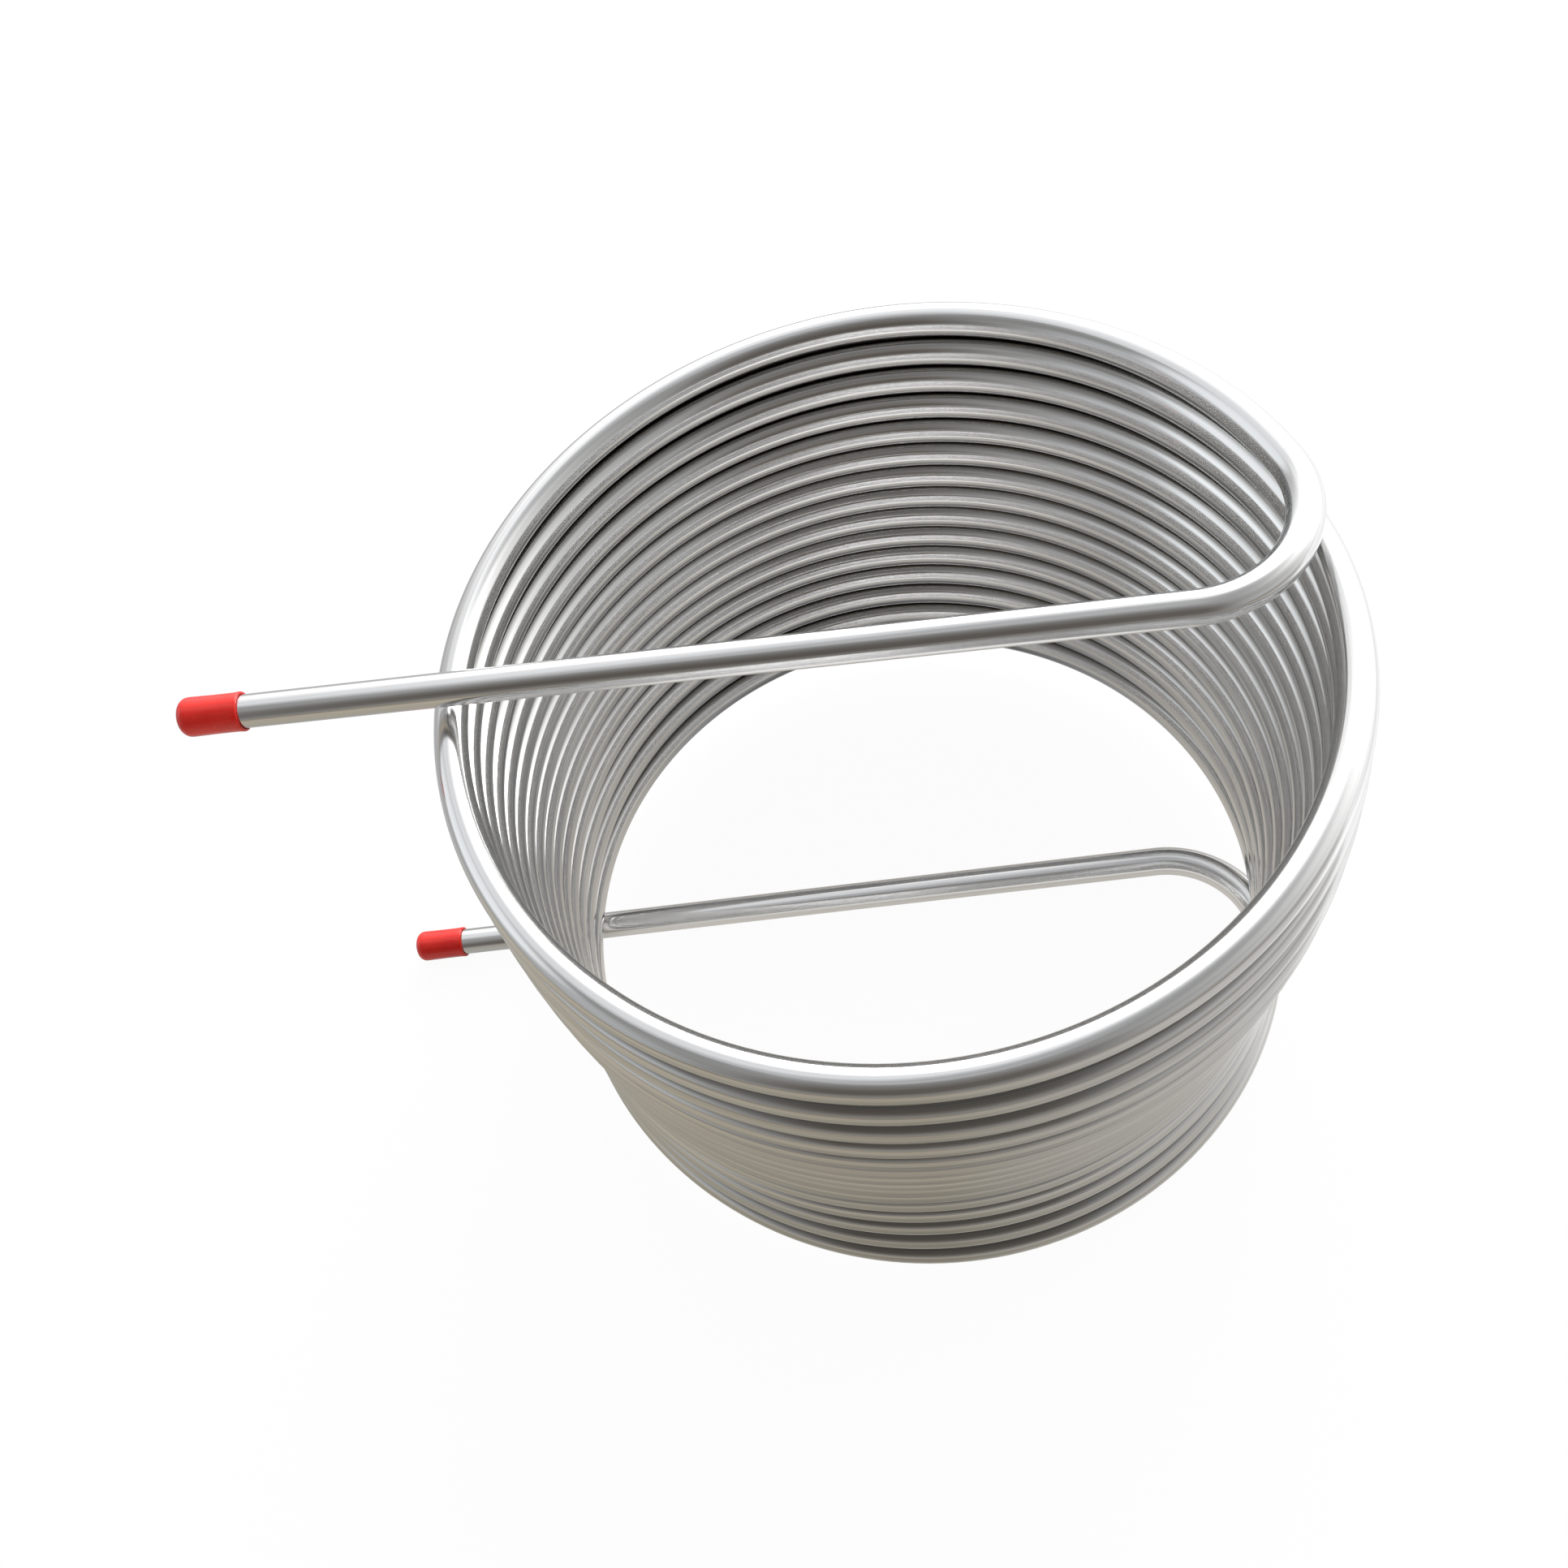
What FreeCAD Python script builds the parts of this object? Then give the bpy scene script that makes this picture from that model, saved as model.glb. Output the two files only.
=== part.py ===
import FreeCAD, Part
import Sketcher
import math
import os

# Immersion wort chiller, a free-standing brewing tool in three pieces: one long stainless tube and a
# soft slip-on cap on each of its two ends. The tube is wound left-handed into a single layer of turns,
# each lying close on the last. At both ends it bends in and runs straight across the coil's mouth.
# Millimetres, +Z up, +Y to the back. The arms point to -X. The origin is on the coil's axis at its
# lowest turn, in the plane that the chiller stands on.

V = FreeCAD.Vector
HALF_TURN = math.pi
FULL_TURN = 2 * math.pi

# Driving sizes: name, value, meaning
SIZES = (
    ("tube_diameter", 12.7, "outside of the half-inch tube"),
    ("tube_wall", 0.9, "wall of the tube, seen at its open ends"),
    ("bore_depth", 60.0, "how deep each open end is bored"),
    ("section_sides", 5, "flats round the wound stretch of the tube"),
    ("foot_flat", 1.27, "depth of the flat that the lowest bend stands on"),
    ("whole_turns", 15, "turns, counted from one bend round to the other"),
    ("coil_radius", 154.2, "axis of the coil to the middle of the tube, lowest turn"),
    ("coil_pitch", 13.43, "rise of the winding in one turn"),
    ("top_widening", 2.7, "how much larger the top turn is in radius"),
    ("top_drift", 15.2, "how far behind the lowest turn the top turn lies"),
    ("back_bow", 1.3, "how far the middle turns bow to the back"),
    ("back_sway", 4.0, "how far the lower half sways back and the upper half forward"),
    ("side_sway", 1.8, "how far the lower half sways left and the upper half right"),
    ("girth_sway", 1.2, "how much the lower half draws in and the upper half swells"),
    ("lower_bend_radius", 39.7, "bend from the lowest turn into the lower arm"),
    ("upper_bend_radius", 43.5, "bend from the top turn into the upper arm"),
    ("start_rise", 0.3, "how much higher the lowest turn starts than its bend's foot"),
    ("end_rise", 2.5, "how much higher the upper arm starts than the top turn ends"),
    ("lower_arm_offset", 15.0, "lower arm behind the coil's axis, at its bend"),
    ("lower_tip_offset", 13.3, "the same at its tip"),
    ("upper_arm_offset", 8.7, "upper arm behind the coil's axis, at its bend"),
    ("upper_tip_offset", 11.4, "the same at its tip"),
    ("arm_reach", 248.2, "coil's axis to the open end of each arm"),
    ("lower_crossing_gap", 0.6, "air between the lower arm and the turn that passes over it"),
    ("upper_crossing_gap", 3.6, "air between the upper arm and the turn that passes under it"),
    ("cap_length", 25.4, "soft cap over all"),
    ("cap_wall", 1.1, "wall of the cap"),
    ("cap_end_edge", 1.0, "bevel round the closed end"),
    ("cap_end_wall", 1.8, "thickness of the closed end"),
    ("cap_clearance", 0.05, "air between cap and tube, on each side"),
    ("cap_seat_gap", 0.2, "air between the tube's end and the cap's closed end"),
    ("cap_floor_gap", 0.15, "air under the lower cap"),
)

doc = FreeCAD.newDocument("wort_chiller")
sheet = doc.addObject("Spreadsheet::Sheet", "Sizes")


def write_size(alias, value, meaning):
    row = len(sheet.getUsedCells()) // 2 + 1
    sheet.set(f"A{row}", meaning)
    sheet.set(f"B{row}", str(value))
    sheet.setAlias(f"B{row}", alias)
    sheet.recompute()


def size(alias):
    return float(getattr(sheet, alias))


for alias, value, meaning in SIZES:
    write_size(alias, value, meaning)

tube_radius = size("tube_diameter") / 2
sides = round(size("section_sides"))
# An odd number of flats, which is as wide from a corner across as the round tube
corner_radius = tube_radius / math.cos(HALF_TURN / sides / 2)
cap_radius = tube_radius + size("cap_clearance") + size("cap_wall")


# Plan of the coil: centre and radius of its turns, and where the bends touch them from inside

def plan_centre(rise):
    """Centre of the turn at this share of the climb, 0 at the bottom and 1 at the top."""
    sway = math.sin(FULL_TURN * rise)
    bow = 4 * rise * (1 - rise)
    back = size("top_drift") * rise + size("back_bow") * bow + size("back_sway") * sway
    return V(-size("side_sway") * sway, back, 0)


def plan_radius(rise):
    sway = math.sin(FULL_TURN * rise)
    return size("coil_radius") + size("top_widening") * rise - size("girth_sway") * sway


def bend_plan(rise, bend_radius, arm_offset, arm_side):
    """Centre of a bend, and the bearing at which it touches its turn. arm_side is 1 or -1 along Y."""
    centre = plan_centre(rise)
    reach = plan_radius(rise) - bend_radius
    bearing = math.asin((arm_offset - arm_side * bend_radius - centre.y) / reach)
    return centre + V(math.cos(bearing), math.sin(bearing), 0) * reach, bearing


lower_bend, start_bearing = bend_plan(0, size("lower_bend_radius"), size("lower_arm_offset"), 1)
upper_bend, end_bearing = bend_plan(1, size("upper_bend_radius"), size("upper_arm_offset"), -1)
winding_angle = FULL_TURN * size("whole_turns") + start_bearing - end_bearing


def upright_point(angle):
    """Middle of the tube at this angle from the winding's start, on a coil that doesn't lean."""
    rise = angle / winding_angle
    bearing = start_bearing - angle
    outward = V(math.cos(bearing), math.sin(bearing), 0) * plan_radius(rise)
    return plan_centre(rise) + outward + V(0, 0, size("coil_pitch") * angle / FULL_TURN)


# The lower arm lies on the ground from its bend and rises until its cap just clears it

foot_height = corner_radius - size("foot_flat")
lower_foot = V(lower_bend.x, size("lower_arm_offset"), foot_height)
cap_rim_reach = size("arm_reach") + size("cap_seat_gap") + size("cap_end_wall") - size("cap_length")
cap_height = cap_radius + size("cap_floor_gap")
lower_slope = (cap_height - foot_height) / (lower_foot.x + cap_rim_reach)


def lower_arm_height(across):
    return foot_height + lower_slope * (lower_foot.x - across)


lower_tip = V(-size("arm_reach"), size("lower_tip_offset"), lower_arm_height(-size("arm_reach")))

# The lowest turn passes over that arm, so the whole winding leans by what lifts its left side clear

start = upright_point(0)
left_pass = upright_point(HALF_TURN + start_bearing)
start_height = foot_height + size("start_rise")
clear_height = (
    lower_arm_height(left_pass.x) + tube_radius + size("lower_crossing_gap") + corner_radius
)
across = start.x - left_pass.x
climb = left_pass.z
lean = math.asin((clear_height - start_height) / math.hypot(across, climb)) - math.atan2(climb, across)
lean_turn = FreeCAD.Rotation(V(0, 1, 0), math.degrees(lean))


def winding_point(angle):
    return lean_turn.multVec(upright_point(angle) - start) + V(start.x, start.y, start_height)


def winding_direction(angle):
    small_step = 0.001
    return (winding_point(angle + small_step) - winding_point(angle - small_step)).normalize()


# The upper arm passes over the top turn and keeps its slope to its tip

top_pass = winding_point(winding_angle - HALF_TURN + end_bearing)
winding_end = winding_point(winding_angle)
lean_shift = winding_end.x - upright_point(winding_angle).x
upper_foot = V(upper_bend.x + lean_shift, size("upper_arm_offset"), winding_end.z + size("end_rise"))
over_height = top_pass.z + corner_radius + size("upper_crossing_gap") + tube_radius
upper_slope = (over_height - upper_foot.z) / (upper_foot.x - top_pass.x)
upper_tip = V(
    -size("arm_reach"),
    size("upper_tip_offset"),
    upper_foot.z + upper_slope * (upper_foot.x + size("arm_reach")),
)


# Route of the tube from the lower arm to the upper one: straight leads, and arcs in pairs between them

def arc_crown(begin, direction, end):
    """Middle of the arc that leaves begin along direction and runs to end."""
    chord = end - begin
    halfway = (direction + V(chord).normalize()).normalize()
    return begin + halfway * (chord.Length / (2 * math.cos(direction.getAngle(chord) / 2)))


def arc_pair(begin, begin_direction, end, end_direction):
    """Two arcs in a row that keep both directions, split where their handles meet halfway."""
    chord = end - begin
    along = chord.dot(begin_direction + end_direction)
    turn = 2 * (1 - begin_direction.dot(end_direction))
    handle = (math.sqrt(along**2 + turn * chord.dot(chord)) - along) / turn
    middle = (begin + begin_direction * handle + end - end_direction * handle) * 0.5
    return [
        Part.Arc(begin, arc_crown(begin, begin_direction, middle), middle).toShape(),
        Part.Arc(middle, arc_crown(end, end_direction * -1, middle), end).toShape(),
    ]


rightward = (lower_foot - lower_tip).normalize()
leftward = (upper_tip - upper_foot).normalize()
lead = size("tube_diameter")
route_start = lower_foot - rightward * lead
route_end = upper_foot + leftward * lead

half_turns = math.ceil(winding_angle / HALF_TURN)
stations = [winding_angle * index / half_turns for index in range(half_turns + 1)]
points = [lower_foot] + [winding_point(angle) for angle in stations] + [upper_foot]
directions = [rightward] + [winding_direction(angle) for angle in stations] + [leftward]

arcs = []
for index in range(len(points) - 1):
    arcs += arc_pair(points[index], directions[index], points[index + 1], directions[index + 1])
route = Part.Wire(
    [Part.makeLine(route_start, lower_foot)] + arcs + [Part.makeLine(upper_foot, route_end)]
)


# Tube: the wound stretch with its two bends, and a round bored arm at each end, as one solid

aside = rightward.cross(V(0, 0, -1)).normalize()
down = aside.cross(rightward)
spokes = [FULL_TURN * index / sides for index in range(sides)]
corners = [
    route_start + (down * math.cos(spoke) + aside * math.sin(spoke)) * corner_radius
    for spoke in spokes
]
section = Part.makePolygon(corners + corners[:1])
wound_stretch = doc.addObject("Part::Feature", "WoundStretch")
wound_stretch.Shape = route.makePipeShell([section], True, False)


def along(tip, direction):
    """Placement that puts a primitive's base at tip and its axis along direction."""
    return FreeCAD.Placement(tip, FreeCAD.Rotation(V(0, 0, 1), direction))


def add_arm(name, tip, inner_end):
    write_size(name.lower() + "_length", (inner_end - tip).Length, "straight round stretch of the arm")
    arm = doc.addObject("Part::Cylinder", name)
    arm.setExpression("Radius", "Sizes.tube_diameter / 2")
    arm.setExpression("Height", f"Sizes.{name.lower()}_length")
    arm.Placement = along(tip, inner_end - tip)
    return arm


def add_bore(name, tip, inner_end):
    bore = doc.addObject("Part::Cylinder", name)
    bore.setExpression("Radius", "Sizes.tube_diameter / 2 - Sizes.tube_wall")
    bore.setExpression("Height", "Sizes.bore_depth")
    bore.Placement = along(tip, inner_end - tip)
    return bore


# The ground reaches past the arms' tips and the coil's far side, and as deep as the tube is thick
ground_reach = size("arm_reach") + size("coil_radius")
ground = doc.addObject("Part::Box", "BelowGround")
ground.setExpression("Length", "2 * (Sizes.arm_reach + Sizes.coil_radius)")
ground.setExpression("Width", "2 * (Sizes.arm_reach + Sizes.coil_radius)")
ground.setExpression("Height", "Sizes.tube_diameter")
ground.Placement.Base = V(-ground_reach, -ground_reach, -size("tube_diameter"))

whole = doc.addObject("Part::MultiFuse", "WholeTube")
whole.Shapes = [
    wound_stretch,
    add_arm("LowerArm", lower_tip, route_start),
    add_arm("UpperArm", upper_tip, route_end),
]
removed = doc.addObject("Part::MultiFuse", "Removed")
removed.Shapes = [
    add_bore("LowerBore", lower_tip, route_start),
    add_bore("UpperBore", upper_tip, route_end),
    ground,
]
tube = doc.addObject("Part::Cut", "Tube")
tube.Base = whole
tube.Tool = removed
tube.Label = "coil_tube"


# Caps: a soft thimble turned about its own X axis, from the open rim at X 0 to the closed end

def add_cap(name, label, tip, outward):
    body = doc.addObject("PartDesign::Body", name)
    body.Label = label
    sketch = body.newObject("Sketcher::SketchObject", name + "Profile")
    plane = next(item for item in body.Origin.OriginFeatures if item.Role == "XY_Plane")
    sketch.AttachmentSupport = [(plane, "")]
    sketch.MapMode = "FlatFace"

    bore = tube_radius + size("cap_clearance")
    length = size("cap_length")
    floor = length - size("cap_end_wall")
    edge = size("cap_end_edge")
    outline = [
        V(0, bore, 0),
        V(0, cap_radius, 0),
        V(length - edge, cap_radius, 0),
        V(length, cap_radius - edge, 0),
        V(length, 0, 0),
        V(floor, 0, 0),
        V(floor, bore, 0),
    ]
    lines = range(len(outline))
    for line in lines:
        finish = outline[(line + 1) % len(outline)]
        sketch.addGeometry(Part.LineSegment(outline[line], finish), False)

    rim, side, _, end, middle, inner_end, inner_side = lines
    start_point, end_point, origin, x_axis, y_axis = 1, 2, -1, -1, -2
    rules = [
        ("Coincident", line, end_point, (line + 1) % len(outline), start_point)
        for line in lines
    ]
    rules += [
        ("Vertical", rim),
        ("Horizontal", side),
        ("Vertical", end),
        ("Vertical", inner_end),
        ("Horizontal", inner_side),
        ("PointOnObject", rim, start_point, y_axis),
        ("PointOnObject", end, end_point, x_axis),
        ("PointOnObject", middle, end_point, x_axis),
    ]
    for rule in rules:
        sketch.addConstraint(Sketcher.Constraint(*rule))

    along_x, along_y = "DistanceX", "DistanceY"
    measures = (
        ("bore", along_y, origin, start_point, rim, start_point, "tube_diameter / 2 + Sizes.cap_clearance"),
        ("wall", along_y, rim, start_point, rim, end_point, "cap_wall"),
        ("length", along_x, origin, start_point, end, start_point, "cap_length"),
        ("floor", along_x, middle, end_point, middle, start_point, "cap_end_wall"),
        ("edge_length", along_x, side, end_point, end, start_point, "cap_end_edge"),
        ("edge_depth", along_y, end, start_point, side, end_point, "cap_end_edge"),
    )
    until_bound = 1.0
    for measure, way, *ends, formula in measures:
        index = sketch.addConstraint(Sketcher.Constraint(way, *ends, until_bound))
        sketch.renameConstraint(index, measure)
        sketch.setExpression(f"Constraints.{measure}", f"Sizes.{formula}")

    turned = body.newObject("PartDesign::Revolution", name + "Turned")
    turned.Profile = sketch
    turned.ReferenceAxis = (sketch, ["H_Axis"])
    turned.Angle = 360
    rim_centre = tip + outward * (size("cap_seat_gap") - floor)
    body.Placement = FreeCAD.Placement(rim_centre, FreeCAD.Rotation(V(1, 0, 0), outward))
    return body


upper_cap = add_cap("UpperCap", "upper_cap", upper_tip, leftward)
lower_cap = add_cap("LowerCap", "lower_cap", lower_tip, rightward * -1)
doc.recompute()


# Proofs: every object is sound, the tube's volume agrees with its route, and its turns keep apart

for item in doc.Objects:
    if "Invalid" in item.State or "Error" in item.State:
        raise RuntimeError(f"{item.Name} did not recompute: {item.State}")

sub_parts = [tube, upper_cap, lower_cap]
for item in sub_parts:
    if item.Shape.isNull() or not item.Shape.isValid() or len(item.Shape.Solids) != 1:
        raise RuntimeError(f"{item.Label} is not one valid solid")

steps_an_arc = 6


def carried_sections():
    """Corners of the section at even steps along the arcs, each carried round its arc's own axis."""
    begin = [corner + rightward * lead for corner in corners]
    carried = []
    for arc in arcs:
        swing = math.degrees(arc.LastParameter - arc.FirstParameter)
        for step in range(1, steps_an_arc + 1):
            turn = FreeCAD.Rotation(arc.Curve.Axis, swing * step / steps_an_arc)
            middle = arc.Curve.Center
            carried.append([middle + turn.multVec(corner - middle) for corner in begin])
        begin = carried[-1]
    return carried


def middle_of(ring):
    return sum(ring, V()) * (1 / sides)


def reach_towards(ring, direction):
    return max((corner - middle_of(ring)).dot(direction) for corner in ring)


def air_between(ring, other_line, other_reach):
    """Air along the shortest line from this section's middle to another stretch's middle line."""
    distance, ends, _ = Part.Vertex(middle_of(ring)).distToShape(other_line)
    towards = (ends[0][1] - ends[0][0]) * (1 / distance)
    return distance - reach_towards(ring, towards) - other_reach(towards * -1)


rings = carried_sections()
arcs_a_turn = 4
gaps = []
for index in range(len(rings) - arcs_a_turn * steps_an_arc):
    next_turn = rings[index + arcs_a_turn * steps_an_arc]
    nearest = index // steps_an_arc + arcs_a_turn
    line_above = Part.Wire(arcs[nearest - 1:nearest + 2])
    gaps.append(air_between(rings[index], line_above, lambda way: reach_towards(next_turn, way)))
for arm_line in (Part.makeLine(lower_tip, route_start), Part.makeLine(upper_tip, route_end)):
    for arc in arcs:
        if arc.CenterOfMass.x < 0:
            gaps.append(arc.distToShape(arm_line)[0] - tube_radius - corner_radius)
print(f"least gap of the tube to itself {min(gaps):.2f} mm")

swept = Part.Face(section).Area * route.Length
print(f"wound stretch {wound_stretch.Shape.Volume:.0f} mm3, section times route {swept:.0f} mm3")
print(f"least radius on the route {min(arc.Curve.Radius for arc in arcs):.1f} mm")
print(f"lean {math.degrees(lean):.2f} degrees, {winding_angle / FULL_TURN:.2f} turns")
tube_length = route.Length + (route_start - lower_tip).Length + (route_end - upper_tip).Length
print(f"tube from tip to tip {tube_length:.0f} mm")

os.makedirs("parts", exist_ok=True)
for item in sub_parts:
    item.Shape.exportStep(f"parts/{item.Label}.step")
    box = item.Shape.BoundBox
    print(f"{item.Label} {box.XLength:.1f} by {box.YLength:.1f} by {box.ZLength:.1f} mm")
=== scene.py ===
import math
import bmesh
import bpy
from mathutils import Matrix, Vector


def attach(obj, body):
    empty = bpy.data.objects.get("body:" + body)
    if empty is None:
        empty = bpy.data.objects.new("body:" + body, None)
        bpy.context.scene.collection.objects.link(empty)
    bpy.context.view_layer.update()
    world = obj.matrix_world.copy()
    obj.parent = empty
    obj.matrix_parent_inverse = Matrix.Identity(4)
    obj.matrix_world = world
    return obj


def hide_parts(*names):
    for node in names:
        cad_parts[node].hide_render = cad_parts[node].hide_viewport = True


# Immersion wort chiller: one long stainless tube in a single layer of turns, with a red slip-on cap
# on each end. Metres, +Z up, +Y to the back, and the two arms point to -X.

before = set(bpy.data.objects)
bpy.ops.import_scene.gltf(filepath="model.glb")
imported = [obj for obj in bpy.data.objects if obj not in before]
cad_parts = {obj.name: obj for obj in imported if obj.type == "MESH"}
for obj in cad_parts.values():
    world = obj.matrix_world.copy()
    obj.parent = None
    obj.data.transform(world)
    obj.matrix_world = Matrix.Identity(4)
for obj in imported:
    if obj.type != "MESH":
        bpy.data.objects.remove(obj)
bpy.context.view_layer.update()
scene = bpy.context.scene
tau, quarter = 2 * math.pi, math.pi / 2
print("frame loaded:", ", ".join(sorted(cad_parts)))

# What the winding follows. The same names are inputs of its node tree.
coil = {
    "tubeRadius": 0.00635,
    "pitch": 0.01343,
    "turnRadius": 0.1542,
    "topWidening": 0.0027,
    "topDrift": 0.0152,
    "backBow": 0.0013,
    "backSway": 0.004,
    "sideSway": 0.0018,
    "girthSway": 0.0012,
    "lean": 0.029034,
    "startHeight": 0.005707,
    "startLift": 0.00066,
    "lowerBendRadius": 0.0397,
    "upperBendRadius": 0.0435,
}
arms = {
    "lowerOffset": 0.015,
    "upperOffset": 0.0087,
    "lowerTip": (-0.2482, 0.0133, 0.007806),
    "lowerFootHeight": 0.006365,
    "upperTip": (-0.2482, 0.0114, 0.231699),
    "upperFootHeight": 0.208463,
}
wholeTurns = 15


# Arithmetic that runs on numbers and on node sockets alike

class Link:
    def __init__(self, graph, socket):
        self.graph, self.socket = graph, socket

    def math(self, operation, *others):
        return self.graph.add("ShaderNodeMath", {"operation": operation}, (self, *others))

    def __add__(self, other):
        return self.math("ADD", other)

    def __radd__(self, other):
        return self.math("ADD", other)

    def __sub__(self, other):
        return self.math("SUBTRACT", other)

    def __rsub__(self, other):
        return self.graph.add("ShaderNodeMath", {"operation": "SUBTRACT"}, (other, self))

    def __mul__(self, other):
        return self.math("MULTIPLY", other)

    def __rmul__(self, other):
        return self.math("MULTIPLY", other)

    def __truediv__(self, other):
        return self.math("DIVIDE", other)

    def __neg__(self):
        return self.math("MULTIPLY", -1.0)


class Graph:
    def __init__(self, tree):
        self.tree = tree

    # Settings come first, then sockets by number or by name
    def add(self, kind, settings=None, sockets=(), output=0):
        node = self.tree.nodes.new(kind)
        for name, value in (settings or {}).items():
            if name == "stops":
                ramp = node.color_ramp.elements
                while len(ramp) < len(value):
                    ramp.new(1.0)
                for element, (position, colour) in zip(ramp, value):
                    element.position, element.color = position, colour
            else:
                setattr(node, name, value)
        pairs = sockets.items() if isinstance(sockets, dict) else enumerate(sockets)
        for key, value in pairs:
            if isinstance(value, Link):
                self.tree.links.new(value.socket, node.inputs[key])
            elif value is not None:
                node.inputs[key].default_value = value
        return Link(self, node.outputs[output])


def axisOf(graph, source, axis):
    return graph.add("ShaderNodeSeparateXYZ", None, (source,), axis)


def remap(graph, value, low, high, toLow=0.0, toHigh=1.0):
    return graph.add(
        "ShaderNodeMapRange", None,
        {"Value": value, "From Min": low, "From Max": high, "To Min": toLow, "To Max": toHigh},
    )


def grey(level):
    return level, level, level, 1.0


def tint(red, green, blue):
    return red, green, blue, 1.0


def sine(value):
    return value.math("SINE") if isinstance(value, Link) else math.sin(value)


def cosine(value):
    return value.math("COSINE") if isinstance(value, Link) else math.cos(value)


# The rule of the winding: rise is 0 at the bottom and 1 at the top, angle counts from the bottom

def turnCentre(size, rise):
    sway = sine(rise * tau)
    back = size["topDrift"] * rise + size["backBow"] * (rise * (1 - rise) * 4) + size["backSway"] * sway
    return -(size["sideSway"] * sway), back


def turnRadius(size, rise):
    return size["turnRadius"] + size["topWidening"] * rise - size["girthSway"] * sine(rise * tau)


def windingPoint(size, angle):
    rise = angle / size["windingAngle"]
    bearing = size["startBearing"] - angle
    radius = turnRadius(size, rise)
    centreX, centreY = turnCentre(size, rise)
    across = centreX + radius * cosine(bearing) - size["startX"]
    climb = size["pitch"] * angle / tau
    leanCosine, leanSine = cosine(size["lean"]), sine(size["lean"])
    return (
        size["startX"] + across * leanCosine + climb * leanSine,
        centreY + radius * sine(bearing),
        size["startHeight"] + climb * leanCosine - across * leanSine,
    )


def bendPlan(rise, bendRadius, offset, side):
    centreX, centreY = turnCentre(coil, rise)
    reach = turnRadius(coil, rise) - bendRadius
    bearing = math.asin((offset - side * bendRadius - centreY) / reach)
    return centreX + reach * math.cos(bearing), centreY + reach * math.sin(bearing), bearing


lowerX, lowerY, startBearing = bendPlan(0.0, coil["lowerBendRadius"], arms["lowerOffset"], 1)
upperX, upperY, endBearing = bendPlan(1.0, coil["upperBendRadius"], arms["upperOffset"], -1)
coil["startBearing"] = startBearing
coil["windingAngle"] = tau * wholeTurns + startBearing - endBearing
coil["startX"] = coil["turnRadius"] * math.cos(startBearing)
windingEnd = windingPoint(coil, coil["windingAngle"])
endX = turnCentre(coil, 1.0)[0] + turnRadius(coil, 1.0) * math.cos(endBearing)
coil.update({
    "endBearing": endBearing,
    "lowerBendX": lowerX,
    "lowerBendY": lowerY,
    "upperBendX": upperX + windingEnd[0] - endX,
    "upperBendY": upperY,
    "endHeight": windingEnd[2],
})
lowerFoot = Vector((lowerX, arms["lowerOffset"], arms["lowerFootHeight"]))
upperFoot = Vector((coil["upperBendX"], arms["upperOffset"], arms["upperFootHeight"]))
lowerTip, upperTip = Vector(arms["lowerTip"]), Vector(arms["upperTip"])


def slopeAt(angle):
    step = 0.01
    near, far = Vector(windingPoint(coil, angle - step)), Vector(windingPoint(coil, angle + step))
    run = far - near
    return run.z / math.hypot(run.x, run.y)


# The tube, with named inputs for every size of the rule above

tubeMesh = {"sides": 32, "armPoints": 24, "bendPoints": 36, "pointsPerTurn": 184}
stretches = {
    "lowerArm": tubeMesh["armPoints"],
    "lowerBend": tubeMesh["bendPoints"],
    "winding": tubeMesh["pointsPerTurn"] * wholeTurns,
    "upperBend": tubeMesh["bendPoints"],
    "upperArm": tubeMesh["armPoints"],
}
armEnds = {"lowerTip": lowerTip, "lowerFoot": lowerFoot, "upperTip": upperTip, "upperFoot": upperFoot}


def tubeInputs(graph):
    identifiers = {}
    for name in (*coil, *armEnds):
        kind = "NodeSocketVector" if name in armEnds else "NodeSocketFloat"
        socket = graph.tree.interface.new_socket(name, in_out="INPUT", socket_type=kind)
        identifiers[name] = socket.identifier
    groupIn = graph.tree.nodes.new("NodeGroupInput")
    return {name: Link(graph, groupIn.outputs[name]) for name in identifiers}, identifiers


# How far a point has come on each stretch, from 0 to 1
def stretchShares(graph):
    index = graph.add("GeometryNodeInputIndex")
    shares, begin = {}, 0
    for name, points in stretches.items():
        shares[name] = graph.add(
            "ShaderNodeMath", {"operation": "DIVIDE", "use_clamp": True},
            (index - float(begin), float(points)),
        )
        begin += points
    return shares


def easedHeight(fraction, low, high, slopeIn, slopeOut, run):
    square = fraction * fraction
    cube = square * fraction
    blend = square * 3 - cube * 2
    return (
        low + (high - low) * blend
        + (cube - square * 2 + fraction) * (slopeIn * run)
        + (cube - square) * (slopeOut * run)
    )


# Each bend takes up the slopes of the winding and of its arm, and the lower one never sinks into the ground
def bendHeights(sizes, on):
    lowerRun = coil["lowerBendRadius"] * (quarter - startBearing)
    upperRun = coil["upperBendRadius"] * (quarter + endBearing)
    lowerArmSlope = (lowerFoot.z - lowerTip.z) / (lowerFoot.x - lowerTip.x)
    upperArmSlope = (upperTip.z - upperFoot.z) / (upperFoot.x - upperTip.x)
    lower = easedHeight(
        on["lowerBend"], arms["lowerFootHeight"], sizes["startHeight"] + sizes["startLift"],
        lowerArmSlope, slopeAt(0.0), lowerRun,
    ).math("MAXIMUM", sizes["tubeRadius"])
    upper = easedHeight(
        on["upperBend"], sizes["endHeight"], arms["upperFootHeight"],
        slopeAt(coil["windingAngle"]), upperArmSlope, upperRun,
    )
    return lower, upper


def bendPoint(sizes, bend, bearing, height):
    radius = sizes[bend + "Radius"]
    return sizes[bend + "X"] + radius * cosine(bearing), sizes[bend + "Y"] + radius * sine(bearing), height


def vectorMath(graph, operation, first, second=None, scale=None):
    return graph.add("ShaderNodeVectorMath", {"operation": operation}, {0: first, 1: second, "Scale": scale})


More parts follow.
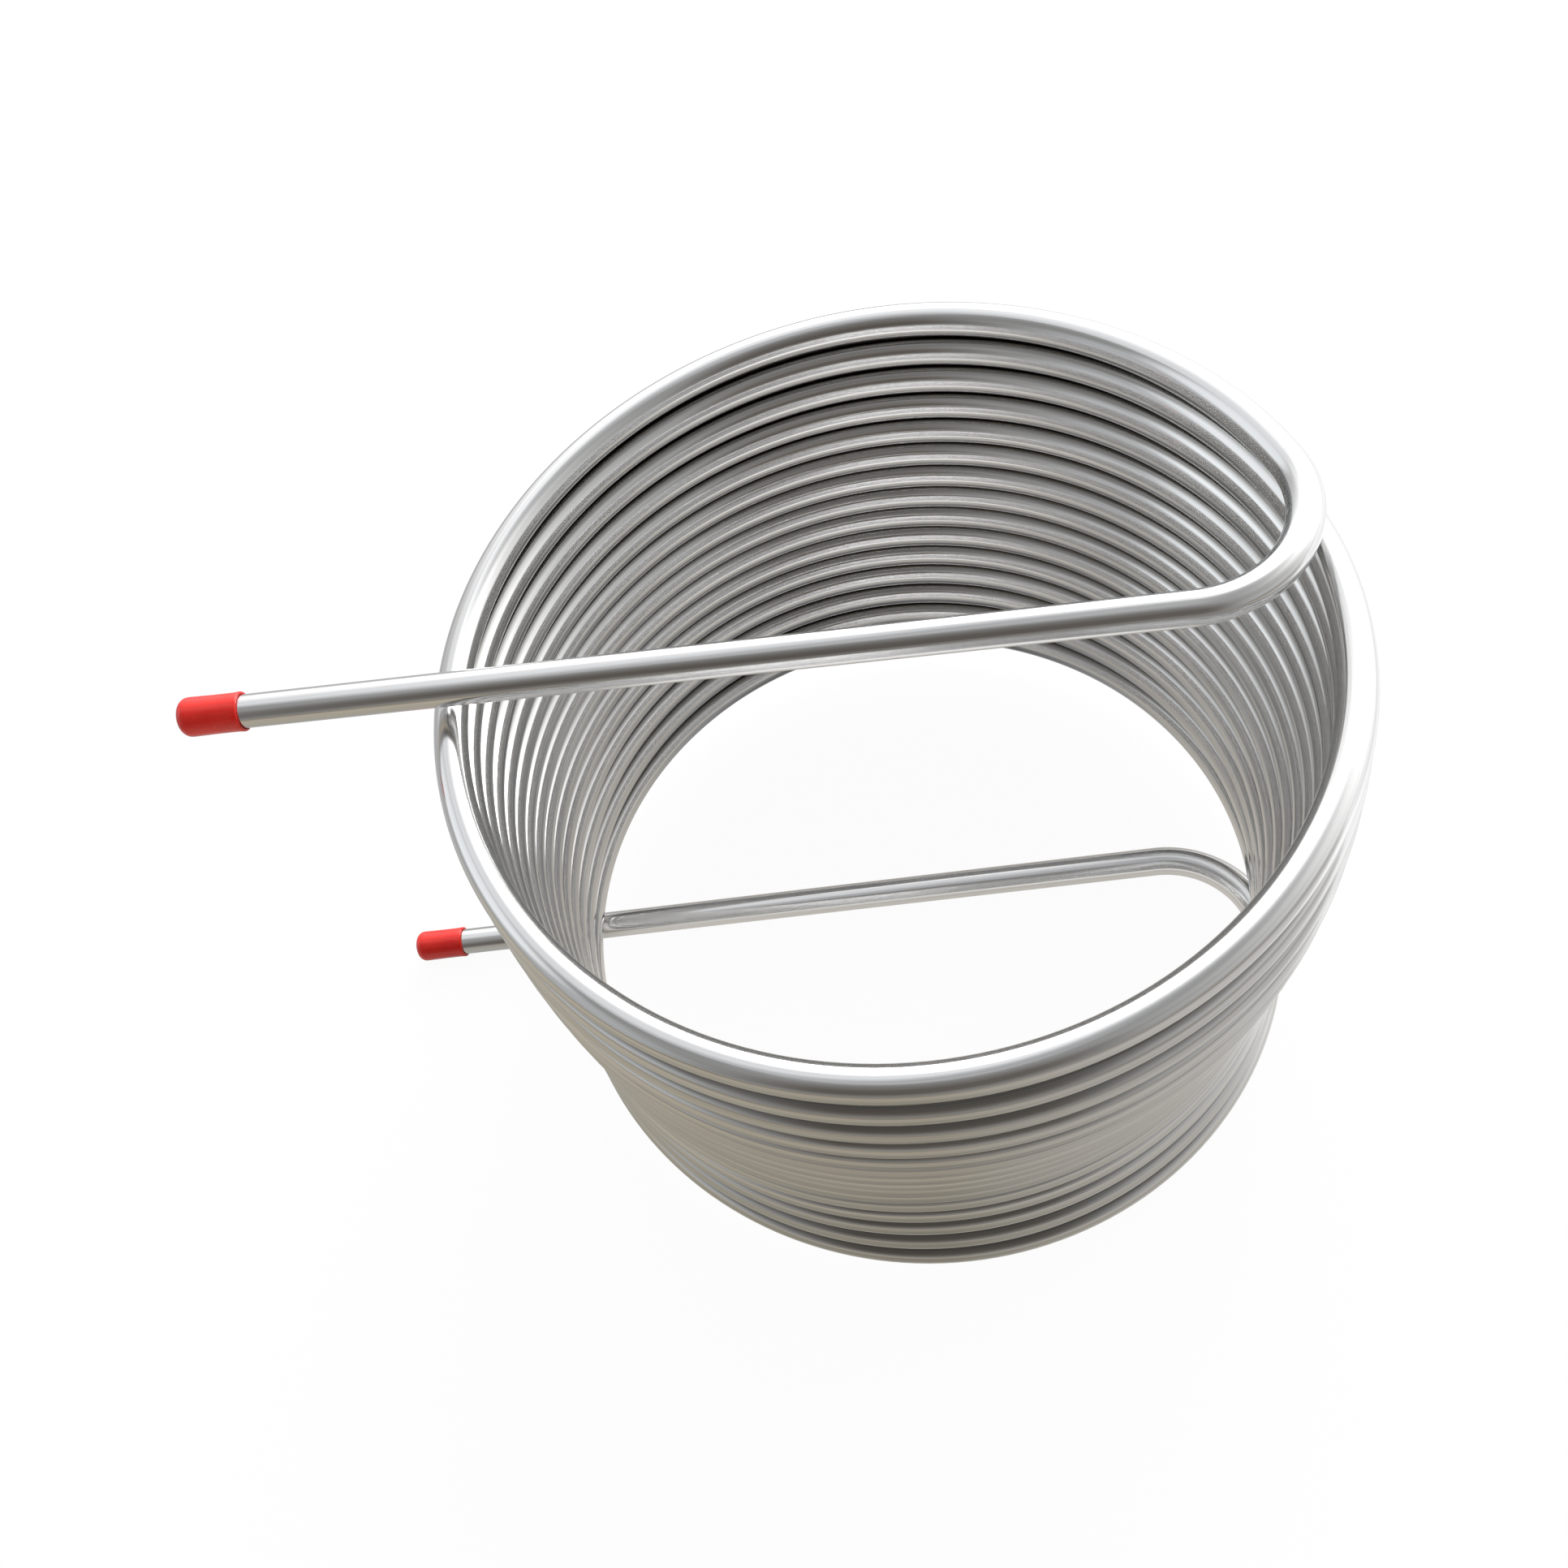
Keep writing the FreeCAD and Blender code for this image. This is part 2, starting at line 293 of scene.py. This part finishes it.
# The bearing runs through both bends and the winding without a jump
def tubeRoute(graph, sizes, on):
    lowerBearing = (sizes["startBearing"] - quarter) * on["lowerBend"] + quarter
    upperBearing = sizes["endBearing"] - (sizes["endBearing"] + quarter) * on["upperBend"]
    lowerHeight, upperHeight = bendHeights(sizes, on)
    angle = sizes["windingAngle"] * on["winding"]
    across, back, height = windingPoint(sizes, angle)

    # The first half turn is lifted clear of the lower arm
    lift = graph.add(
        "ShaderNodeMapRange", {"interpolation_type": "SMOOTHSTEP"},
        {"Value": angle, "From Min": 0.0, "From Max": math.pi, "To Min": 1.0, "To Max": 0.0},
    ) * sizes["startLift"]
    place = graph.add("ShaderNodeCombineXYZ", None, bendPoint(sizes, "lowerBend", lowerBearing, lowerHeight))
    for started, point in (
        (on["winding"], (across, back, height + lift)),
        (on["upperBend"], bendPoint(sizes, "upperBend", upperBearing, upperHeight)),
    ):
        later = graph.add("ShaderNodeCombineXYZ", None, point)
        begun = graph.add("FunctionNodeCompare", {"data_type": "FLOAT"}, (started, 0.0))
        place = graph.add(
            "GeometryNodeSwitch", {"input_type": "VECTOR"}, {"Switch": begun, "False": place, "True": later}
        )
    for tip, foot, share in (
        ("lowerTip", "lowerFoot", 1 - on["lowerArm"]), ("upperTip", "upperFoot", on["upperArm"]),
    ):
        reach = vectorMath(graph, "SUBTRACT", sizes[tip], sizes[foot])
        place = vectorMath(graph, "ADD", place, vectorMath(graph, "SCALE", reach, scale=share))
    return place


# Whether a turn lies right above and right below, which fades about one turn before the winding's ends. The
# steel's painted crevice shade follows it.
def turnsBeside(graph, on):
    turns = coil["windingAngle"] / tau
    turn = on["winding"] * turns
    fadeIn, nearTurn, farTurn = 0.1, 0.95, 1.1
    above = remap(graph, turn, turns - farTurn, turns - nearTurn, 1.0, 0.0) * remap(graph, turn, 0.0, fadeIn)
    below = remap(graph, turn, nearTurn, farTurn) * (1 - on["upperBend"])
    return graph.add("ShaderNodeCombineXYZ", None, (above, below))


def remember(graph, geometry, name, value, dataType="FLOAT_VECTOR"):
    return graph.add(
        "GeometryNodeStoreNamedAttribute", {"data_type": dataType, "domain": "POINT"},
        {"Geometry": geometry, "Name": name, "Value": value},
    )


def recall(graph, name, dataType="FLOAT_VECTOR"):
    return graph.add("GeometryNodeInputNamedAttribute", {"data_type": dataType}, {"Name": name})


# Every point keeps its metres along the tube, and its place on the round as metres aside and down
def skinTube(graph, line, radius):
    length = graph.add("GeometryNodeSplineParameter", None, (), "Length")
    line = remember(graph, line, "along", length, "FLOAT")
    ring = graph.add(
        "GeometryNodeCurvePrimitiveCircle", {"mode": "RADIUS"},
        {"Resolution": tubeMesh["sides"], "Radius": radius},
    )
    ring = remember(graph, ring, "round", graph.add("GeometryNodeInputPosition"))
    tube = graph.add("GeometryNodeCurveToMesh", None, {"Curve": line, "Profile Curve": ring})
    aside, down = (axisOf(graph, recall(graph, "round"), axis) for axis in "XY")
    straight = graph.add("ShaderNodeCombineXYZ", None, (recall(graph, "along", "FLOAT"), aside, down))
    tube = remember(graph, tube, "straightened", straight)
    return graph.add("GeometryNodeSetShadeSmooth", None, {"Geometry": tube})


def growTube():
    tree = bpy.data.node_groups.new("woundTube", "GeometryNodeTree")
    graph = Graph(tree)
    tree.interface.new_socket("Geometry", in_out="OUTPUT", socket_type="NodeSocketGeometry")
    sizes, identifiers = tubeInputs(graph)
    on = stretchShares(graph)
    points = sum(stretches.values()) + 1
    line = graph.add("GeometryNodeCurvePrimitiveLine", None, {"End": (1.0, 0.0, 0.0)})
    line = graph.add("GeometryNodeResampleCurve", None, {"Curve": line, "Count": points})
    place = tubeRoute(graph, sizes, on)
    line = graph.add("GeometryNodeSetPosition", None, {"Geometry": line, "Position": place})
    line = graph.add("GeometryNodeSetCurveNormal", {"mode": "Z_UP"}, {"Curve": line})
    line = remember(graph, line, "beside", turnsBeside(graph, on))
    tube = skinTube(graph, line, sizes["tubeRadius"])
    tube = graph.add("GeometryNodeRealizeInstances", None, {"Geometry": tube})
    tube = graph.add("GeometryNodeSetMaterial", None, {"Geometry": tube, "Material": brushedSteel()})
    groupOut = tree.nodes.new("NodeGroupOutput")
    tree.links.new(tube.socket, groupOut.inputs[0])

    seed = bpy.data.objects.new("tubeSeed", bpy.data.meshes.new("tubeSeed"))
    scene.collection.objects.link(seed)
    grow = seed.modifiers.new("woundTube", "NODES")
    grow.node_group = tree
    for name, value in {**coil, **armEnds}.items():
        grow[identifiers[name]] = value
    bpy.context.view_layer.update()
    grown = seed.evaluated_get(bpy.context.evaluated_depsgraph_get())
    mesh = bpy.data.meshes.new_from_object(grown)
    seed.modifiers.remove(grow)
    bpy.data.objects.remove(seed)
    return mesh


# Each end of the tube is cut square, with its edges rounded and its bore open

tubeEnd = {"wall": 0.0009, "edge": 0.00012, "boreDepth": 0.06}


def openEnd(mesh, tip, outward):
    outer = coil["tubeRadius"]
    bore = outer - tubeEnd["wall"]
    edge = tubeEnd["edge"]
    steps = (
        (edge, outer), (edge * 0.3, outer - edge * 0.3), (0.0, outer - edge),
        (0.0, bore + edge), (edge * 0.3, bore + edge * 0.3), (edge, bore), (tubeEnd["boreDepth"], bore),
    )
    work = bmesh.new()
    work.from_mesh(mesh)
    rim = [corner for corner in work.verts if corner.is_boundary and (corner.co - tip).length < 2 * outer]
    for corner in rim:
        corner.co -= outward * edge
    for depth, radius in steps[1:]:
        grown = []
        for corner in rim:
            spoke = corner.co - tip
            spoke -= outward * spoke.dot(outward)
            grown.append(work.verts.new(tip - outward * depth + spoke.normalized() * radius, corner))
        for side in range(len(rim)):
            after = (side + 1) % len(rim)
            work.faces.new((rim[side], rim[after], grown[after], grown[side]))
        rim = grown
    work.faces.new(rim)
    bmesh.ops.recalc_face_normals(work, faces=work.faces)
    for face in work.faces:
        face.smooth = True
    work.to_mesh(mesh)
    work.free()


def addPiece(name, mesh, body, node):
    piece = bpy.data.objects.new(name, mesh)
    scene.collection.objects.link(piece)
    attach(piece, body)
    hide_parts(node)
    return piece


# Materials

def newMaterial(name):
    material = bpy.data.materials.new(name)
    material.use_nodes = True
    return material, Graph(material.node_tree), material.node_tree.nodes["Principled BSDF"]


def join(graph, link, node, socket):
    graph.tree.links.new(link.socket, node.inputs[socket])


def stretched(graph, source, scale):
    return graph.add("ShaderNodeMapping", None, {"Vector": source, "Scale": scale})


def noise(graph, place, scale, detail=2.0, roughness=0.5):
    return graph.add(
        "ShaderNodeTexNoise", {"noise_dimensions": "3D"},
        {"Vector": place, "Scale": scale, "Detail": detail, "Roughness": roughness},
    )


def mixColours(graph, factor, first, second):
    return graph.add("ShaderNodeMix", {"data_type": "RGBA"}, {"Factor": factor, 6: first, 7: second}, 2)


def relief(graph, shader, height, strength, depth):
    bump = graph.add("ShaderNodeBump", None, {"Strength": strength, "Distance": depth, "Height": height})
    join(graph, bump, shader, "Normal")


# Noise per metre along the tube, aside and down the round, and roughness in the dark and the light lines
steel = {
    "light": grey(0.91),
    "dark": grey(0.7),
    "roughness": (0.16, 0.12),
    "drawLines": (1.6, 480.0, 480.0),
    "lineDetail": (4.0, 0.65),
    "smudges": (9.0, 60.0, 60.0),
    "smudgeDetail": 3.0,
    "smudgeShare": 0.2,
    "toneFrom": (0.38, 0.62),
    "lineStrength": 0.6,
    "lineDepth": 0.0001,
    # painted crevice shade, and the heights on the round between which it fades in
    "paintedCreviceShade": tint(0.2, 0.19, 0.175),
    "paintedShadeFrom": (0.72, 0.93),
}


def brushedSteel():
    material, graph, shader = newMaterial("brushedSteel")
    place = graph.add("ShaderNodeAttribute", {"attribute_name": "straightened"}, (), "Vector")
    drawLines = noise(graph, stretched(graph, place, steel["drawLines"]), 1.0, *steel["lineDetail"])
    smudges = noise(graph, stretched(graph, place, steel["smudges"]), 1.0, steel["smudgeDetail"])
    blend = drawLines * (1 - steel["smudgeShare"]) + smudges * steel["smudgeShare"]
    tone = remap(graph, blend, *steel["toneFrom"])
    colour = mixColours(graph, tone, steel["dark"], steel["light"])

    # Painted shade darkens the colour where the turns nearly touch, at the top and the bottom of the round
    beside = graph.add("ShaderNodeAttribute", {"attribute_name": "beside"}, (), "Vector")
    above, below = axisOf(graph, beside, "X"), axisOf(graph, beside, "Y")
    upward = axisOf(graph, place, "Z") / -coil["tubeRadius"]
    onTop = remap(graph, upward, *steel["paintedShadeFrom"])
    underneath = remap(graph, -upward, *steel["paintedShadeFrom"])
    paintedCreviceShade = onTop * above + underneath * below
    join(graph, mixColours(graph, paintedCreviceShade, colour, steel["paintedCreviceShade"]), shader, "Base Color")
    join(graph, remap(graph, tone, 0.0, 1.0, *steel["roughness"]), shader, "Roughness")
    relief(graph, shader, drawLines, steel["lineStrength"], steel["lineDepth"])
    shader.inputs["Metallic"].default_value = 1.0
    return material


vinyl = {
    "bright": tint(0.82, 0.016, 0.004),
    "deep": tint(0.74, 0.009, 0.005),
    "clouds": 110.0,
    "toneFrom": (0.35, 0.65),
    "roughFrom": (0.3, 0.7),
    "roughness": (0.2, 0.3),
    "ripples": 420.0,
    "rippleStrength": 0.06,
    "rippleDepth": 0.0004,
    "coat": 0.35,
    "coatRoughness": 0.08,
}


def redVinyl():
    material, graph, shader = newMaterial("redVinyl")
    place = graph.add("ShaderNodeTexCoord", None, (), "Object")
    clouds = noise(graph, place, vinyl["clouds"])
    ripples = noise(graph, place, vinyl["ripples"])
    tone = remap(graph, clouds, *vinyl["toneFrom"])
    join(graph, mixColours(graph, tone, vinyl["deep"], vinyl["bright"]), shader, "Base Color")
    join(graph, remap(graph, clouds, *vinyl["roughFrom"], *vinyl["roughness"]), shader, "Roughness")
    relief(graph, shader, ripples, vinyl["rippleStrength"], vinyl["rippleDepth"])
    shader.inputs["Coat Weight"].default_value = vinyl["coat"]
    shader.inputs["Coat Roughness"].default_value = vinyl["coatRoughness"]
    return material


# A dipped cap: thin soft wall, rolled rim, slight waist and a domed end. Waist and bulge stand at shares of
# the length, and the drops are how far the dome's edge and its middle lie below the very end.
cap = {
    "length": 0.0254,
    "bore": 0.0064,
    "boreRound": 0.001,
    "endWall": 0.0018,
    "rimRadius": 0.0075,
    "rimHeight": 0.0032,
    "waistRadius": 0.00735,
    "waistEnd": 0.45,
    "bulgeRadius": 0.0075,
    "bulgeAt": 0.78,
    "endRound": 0.0038,
    "domeDrops": (0.0003, 0.0001),
    "seatGap": 0.0002,
    "sides": 48,
}


def arc(across, height, radius, start, stop, steps):
    turns = [math.radians(start + (stop - start) * step / steps) for step in range(steps + 1)]
    return [(across + radius * math.cos(turn), height + radius * math.sin(turn)) for turn in turns]


# Radius and height over the rim, from the middle of the inside to the middle of the outside
def capProfile():
    length, bore, corner = cap["length"], cap["bore"], cap["boreRound"]
    inside = length - cap["endWall"]
    waistEnd = length * cap["waistEnd"]
    lip = (cap["rimRadius"] - bore) / 2
    shoulder = cap["bulgeRadius"] - cap["endRound"]
    domeEdge, domeMiddle = cap["domeDrops"]
    return [
        (0.0, inside),
        *arc(bore - corner, inside - corner, corner, 90, 0, 4),
        (bore, waistEnd),
        (bore, lip * 1.2),
        *arc(bore + lip, lip, lip, 180, 360, 6),
        (cap["waistRadius"], cap["rimHeight"]),
        (cap["waistRadius"], waistEnd),
        (cap["bulgeRadius"], length * cap["bulgeAt"]),
        *arc(shoulder, length - domeEdge - cap["endRound"], cap["endRound"], 0, 90, 8),
        (shoulder / 2, length - domeMiddle),
        (0.0, length),
    ]


def turnedCap(name, tip, outward, material):
    work = bmesh.new()
    rim = tip + outward * (cap["seatGap"] + cap["endWall"] - cap["length"])
    facing = Matrix.Translation(rim) @ outward.to_track_quat("Z", "Y").to_matrix().to_4x4()
    turns = [tau * step / cap["sides"] for step in range(cap["sides"])]
    rings = []
    for radius, height in capProfile():
        if radius == 0.0:
            middle = work.verts.new(facing @ Vector((0.0, 0.0, height)))
            rings.append([middle] * cap["sides"])
            continue
        rings.append([
            work.verts.new(facing @ Vector((radius * math.cos(turn), radius * math.sin(turn), height)))
            for turn in turns
        ])
    for near, far in zip(rings, rings[1:]):
        for step in range(cap["sides"]):
            after = (step + 1) % cap["sides"]
            corners = (near[step], near[after], far[after], far[step])
            work.faces.new(list(dict.fromkeys(corners)))
    bmesh.ops.recalc_face_normals(work, faces=work.faces)
    for face in work.faces:
        face.smooth = True
    mesh = bpy.data.meshes.new(name)
    work.to_mesh(mesh)
    work.free()
    mesh.materials.append(material)
    return mesh


tubeMeshData = growTube()
lowerOutward = (lowerTip - lowerFoot).normalized()
upperOutward = (upperTip - upperFoot).normalized()
openEnd(tubeMeshData, lowerTip, lowerOutward)
openEnd(tubeMeshData, upperTip, upperOutward)
addPiece("woundTube", tubeMeshData, "tube", "coil_tube")
print("tube:", len(tubeMeshData.vertices), "points,", len(tubeMeshData.polygons), "faces")

capVinyl = redVinyl()
for name, tip, outward, body, node in (
    ("upperCap", upperTip, upperOutward, "upper_end_cap", "upper_cap"),
    ("lowerCap", lowerTip, lowerOutward, "lower_end_cap", "lower_cap"),
):
    addPiece(name, turnedCap(name, tip, outward, capVinyl), body, node)
print("caps: two")

# Studio: pale floor and a white background. The metal mirrors a workshop: a wide window behind the coil,
# a dim room on the viewer's side, and a floor painted with the window's light to the back and right.

studio = {
    "floorSize": 12.0,
    "floorColour": grey(0.93),
    "floorRoughness": 0.9,
    "white": grey(1.0),
    "cameraWhite": 0.955,  # the rest of the floor is lit, and keeps the shadow
    "frontToBack": (-1.5, 1.5),
    "leftToRight": (0.0, 0.35),
    "insideCoil": (-0.15, 0.15),
    "coilRadius": (0.14, 0.17),
    "coilFront": 0.2,
    "windowBearing": math.radians(30.0),
    "windowTilt": 0.35,
    "viewerBearing": math.radians(177.0),
    "viewerReach": (0.743, 0.927),
    "viewerShade": tint(0.37, 0.325, 0.28),
    "overheadBlur": 0.02,
}
# What the metal mirrors. Dim, bright and viewer go by the sine of the height over the horizon, window by the
# cosine of the bearing from the window's middle, and the others by the place on the floor.
roomRamps = {
    "dim": (  # the room away from the window
        (0.0, tint(0.32, 0.318, 0.314)), (0.5, tint(0.3, 0.298, 0.294)), (0.77, tint(0.3, 0.298, 0.294)),
        (0.9, grey(0.31)), (0.94, grey(0.38)), (0.97, tint(0.49, 0.495, 0.5)),
        (0.985, tint(0.51, 0.52, 0.53)), (1.0, tint(0.52, 0.535, 0.55)),
    ),
    "bright": (  # the window and the ceiling over it
        (0.0, grey(2.5)), (0.17, grey(3.9)), (0.7, grey(3.9)), (0.82, grey(1.8)),
        (0.906, tint(1.05, 1.06, 1.08)), (0.966, tint(0.88, 0.88, 0.9)),
        (0.996, tint(0.66, 0.66, 0.68)), (1.0, tint(0.62, 0.62, 0.64)),
    ),
    "window": (  # how far the window prevails over the dim room
        (0.0, grey(0.0)), (0.25, grey(0.008)), (0.37, grey(0.025)), (0.5, grey(0.055)), (0.63, grey(0.1)),
        (0.75, grey(0.2)), (0.854, grey(0.35)), (0.93, grey(0.8)), (0.97, grey(1.0)),
    ),
    "viewer": (  # how much the viewer darkens the dim room
        (0.0, grey(0.35)), (0.15, grey(0.62)), (0.3, grey(0.95)), (0.5, grey(1.0)), (0.64, grey(0.85)),
        (0.77, grey(0.6)), (0.87, grey(0.45)), (0.93, grey(0.2)), (0.97, grey(0.0)),
    ),
    "left": (  # floor on the left, from front to back
        (0.0, tint(0.24, 0.215, 0.172)), (0.27, tint(0.34, 0.306, 0.246)), (0.35, tint(0.4, 0.363, 0.296)),
        (0.46, tint(0.44, 0.405, 0.335)), (0.53, grey(0.439)), (0.73, tint(0.46, 0.46, 0.465)),
    ),
    "right": (  # floor on the right, from front to back
        (0.0, tint(0.289, 0.268, 0.235)), (0.27, tint(0.417, 0.396, 0.364)),
        (0.43, tint(0.589, 0.578, 0.567)), (0.455, grey(0.663)), (0.475, grey(1.124)),
        (0.52, grey(1.07)), (0.73, grey(1.177)),
    ),
    # painted window light at the front of the inside, and painted shade by the coil's back wall
    "inside": (  # floor inside the coil, from front to back
        (0.0, tint(1.0, 0.99, 0.98)), (0.17, tint(1.05, 1.04, 1.03)), (0.27, tint(0.98, 0.97, 0.96)),
        (0.43, tint(0.68, 0.65, 0.605)), (0.6, tint(0.53, 0.5, 0.455)), (0.75, tint(0.43, 0.41, 0.375)),
        (0.85, tint(0.26, 0.262, 0.265)), (0.93, tint(0.11, 0.108, 0.105)), (1.0, tint(0.07, 0.068, 0.065)),
    ),
    "front": (  # shade of the left floor, by the metres from the coil's front
        (0.0, grey(0.62)), (0.08, grey(0.74)), (0.2, grey(0.95)),
        (0.4, grey(1.1)), (0.65, grey(1.22)), (1.0, grey(1.1)),
    ),
}
# Paler places in the dim room: the ceiling beside the window, the wall on the left and what hangs above it.
# Bearing and rise in degrees, and reach as the cosines between which each fades in.
glows = (
    {"bearing": -42.0, "rise": 66.0, "reach": (0.9, 0.975), "share": 0.8, "colour": tint(0.96, 0.97, 0.99)},
    {"bearing": -108.0, "rise": 12.0, "reach": (0.84, 0.97), "share": 0.8, "colour": tint(0.56, 0.575, 0.59)},
    {"bearing": -80.0, "rise": 29.0, "reach": (0.9, 0.965), "share": 1.0, "colour": tint(0.98, 1.01, 1.03)},
)


def ramp(graph, name, value):
    return graph.add("ShaderNodeValToRGB", {"stops": roomRamps[name]}, (value,))


def placeIn(graph, output):
    source = graph.add("ShaderNodeTexCoord", None, (), output)
    return [axisOf(graph, source, axis) for axis in "XYZ"]


def distance(across, back, softness=0.0):
    return (across * across + back * back + softness).math("SQRT")


def along(across, back, bearing):
    return across * math.sin(bearing) + back * math.cos(bearing)


def multiply(graph, first, second):
    return graph.add("ShaderNodeVectorMath", {"operation": "MULTIPLY"}, (first, second))


def isRay(graph, kind):
    return graph.add("ShaderNodeLightPath", None, (), kind)


# Floor colours the metal mirrors, with painted window light and the coil's painted shadow in them
def mirroredFloor(graph):
    across, back = placeIn(graph, "Object")[:2]
    fromFront = remap(graph, back, *studio["frontToBack"])
    shade = ramp(graph, "front", distance(across, back + studio["coilFront"]))
    onLeft = multiply(graph, ramp(graph, "left", fromFront), shade)
    onRight = remap(graph, across, *studio["leftToRight"])
    outside = mixColours(graph, onRight, onLeft, ramp(graph, "right", fromFront))
    inside = ramp(graph, "inside", remap(graph, back, *studio["insideCoil"]))
    return mixColours(graph, remap(graph, distance(across, back), *studio["coilRadius"]), inside, outside)


# The camera sees the floor almost white and the metal sees its colours, with light and shadow painted in. The
# rest takes light and shadow.
def addFloor():
    bpy.ops.mesh.primitive_plane_add(size=studio["floorSize"])
    floor = bpy.context.object
    floor.name = "floor"
    material, graph, shader = newMaterial("paleFloor")
    shader.inputs["Base Color"].default_value = studio["floorColour"]
    shader.inputs["Roughness"].default_value = studio["floorRoughness"]
    shader.inputs["Specular IOR Level"].default_value = 0.0
    glossy, camera = isRay(graph, "Is Glossy Ray"), isRay(graph, "Is Camera Ray")
    shown = mixColours(graph, glossy, studio["white"], mirroredFloor(graph))
    shining = graph.add("ShaderNodeEmission", None, {"Color": shown, "Strength": 1.0})
    seen = camera * studio["cameraWhite"] + glossy
    mixed = graph.add("ShaderNodeMixShader", None, {0: seen, 1: Link(graph, shader.outputs[0]), 2: shining})
    join(graph, mixed, material.node_tree.nodes["Material Output"], "Surface")
    floor.data.materials.append(material)


def addWorld():
    world = bpy.data.worlds.new("whiteStudio")
    world.use_nodes = True
    scene.world = world
    graph = Graph(world.node_tree)
    across, back, height = placeIn(graph, "Generated")
    level = distance(across, back, studio["overheadBlur"])

    # High up, the window's light leans to the left
    tilt = height * height * across * studio["windowTilt"]
    towardsWindow = along(across, back, studio["windowBearing"]) - tilt
    light = ramp(graph, "window", remap(graph, towardsWindow / level, -1.0, 1.0))
    towardsViewer = along(across, back, studio["viewerBearing"]) / level
    tall = graph.add("ShaderNodeSeparateColor", None, (ramp(graph, "viewer", height),))
    shaded = remap(graph, towardsViewer, *studio["viewerReach"]) * tall
    shade = mixColours(graph, shaded, studio["white"], studio["viewerShade"])
    dim = multiply(graph, ramp(graph, "dim", height), shade)
    room = mixColours(graph, light, dim, ramp(graph, "bright", height))
    for glow in glows:
        bearing, rise = math.radians(glow["bearing"]), math.radians(glow["rise"])
        towards = along(across, back, bearing) * math.cos(rise) + height * math.sin(rise)
        share = remap(graph, towards, *glow["reach"], 0.0, glow["share"])
        room = mixColours(graph, share, room, glow["colour"])
    seen = mixColours(graph, isRay(graph, "Is Camera Ray"), room, studio["white"])
    join(graph, seen, world.node_tree.nodes["Background"], "Color")


# One wide lamp stands in the window. The metal doesn't mirror it, because the world holds the window.
lamp = {"place": (0.68, 2.1, 1.2), "aim": (0.0, 0.0, 0.1), "wide": 3.6, "tall": 1.75, "power": 62.0}


def addLamp():
    light = bpy.data.lights.new("window", "AREA")
    light.shape = "RECTANGLE"
    light.energy, light.size, light.size_y = lamp["power"], lamp["wide"], lamp["tall"]
    holder = bpy.data.objects.new("window", light)
    scene.collection.objects.link(holder)
    holder.location = lamp["place"]
    holder.visible_glossy = False
    facing = Vector(lamp["aim"]) - Vector(lamp["place"])
    holder.rotation_euler = facing.to_track_quat("-Z", "Y").to_euler()


# The photograph's camera, in metres and radians, with its focal length and middle in the picture's pixels
view = {
    "place": (0.03362, -0.27744, 0.61243),
    "yaw": -0.43016,
    "pitch": -1.02049,
    "roll": -0.49865,
    "focal": 1715.34,
    "centre": (815.89, 1030.81),
    "picture": 1932,
    "sensor": 36.0,
}


def addCamera():
    data = bpy.data.cameras.new("photograph")
    camera = bpy.data.objects.new("photograph", data)
    scene.collection.objects.link(camera)
    yaw, pitch, roll = view["yaw"], view["pitch"], view["roll"]
    forward = Vector((math.sin(yaw) * math.cos(pitch), math.cos(yaw) * math.cos(pitch), math.sin(pitch)))
    level = Vector((math.cos(yaw), -math.sin(yaw), 0.0))
    upright = level.cross(forward)
    right = level * math.cos(roll) + upright * math.sin(roll)
    up = upright * math.cos(roll) - level * math.sin(roll)
    turned = Matrix((right, up, -forward)).transposed().to_4x4()
    camera.matrix_world = Matrix.Translation(view["place"]) @ turned
    picture, (centreX, centreY) = view["picture"], view["centre"]
    data.sensor_width = view["sensor"]
    data.lens = view["focal"] / picture * view["sensor"]
    data.shift_x = (picture / 2 - centreX) / picture
    data.shift_y = (centreY - picture / 2) / picture
    data.clip_start, data.clip_end = 0.01, 50.0
    scene.camera = camera


addFloor()
addWorld()
addLamp()
addCamera()
scene.view_settings.view_transform = "Standard"
print("studio, lamp and camera set")
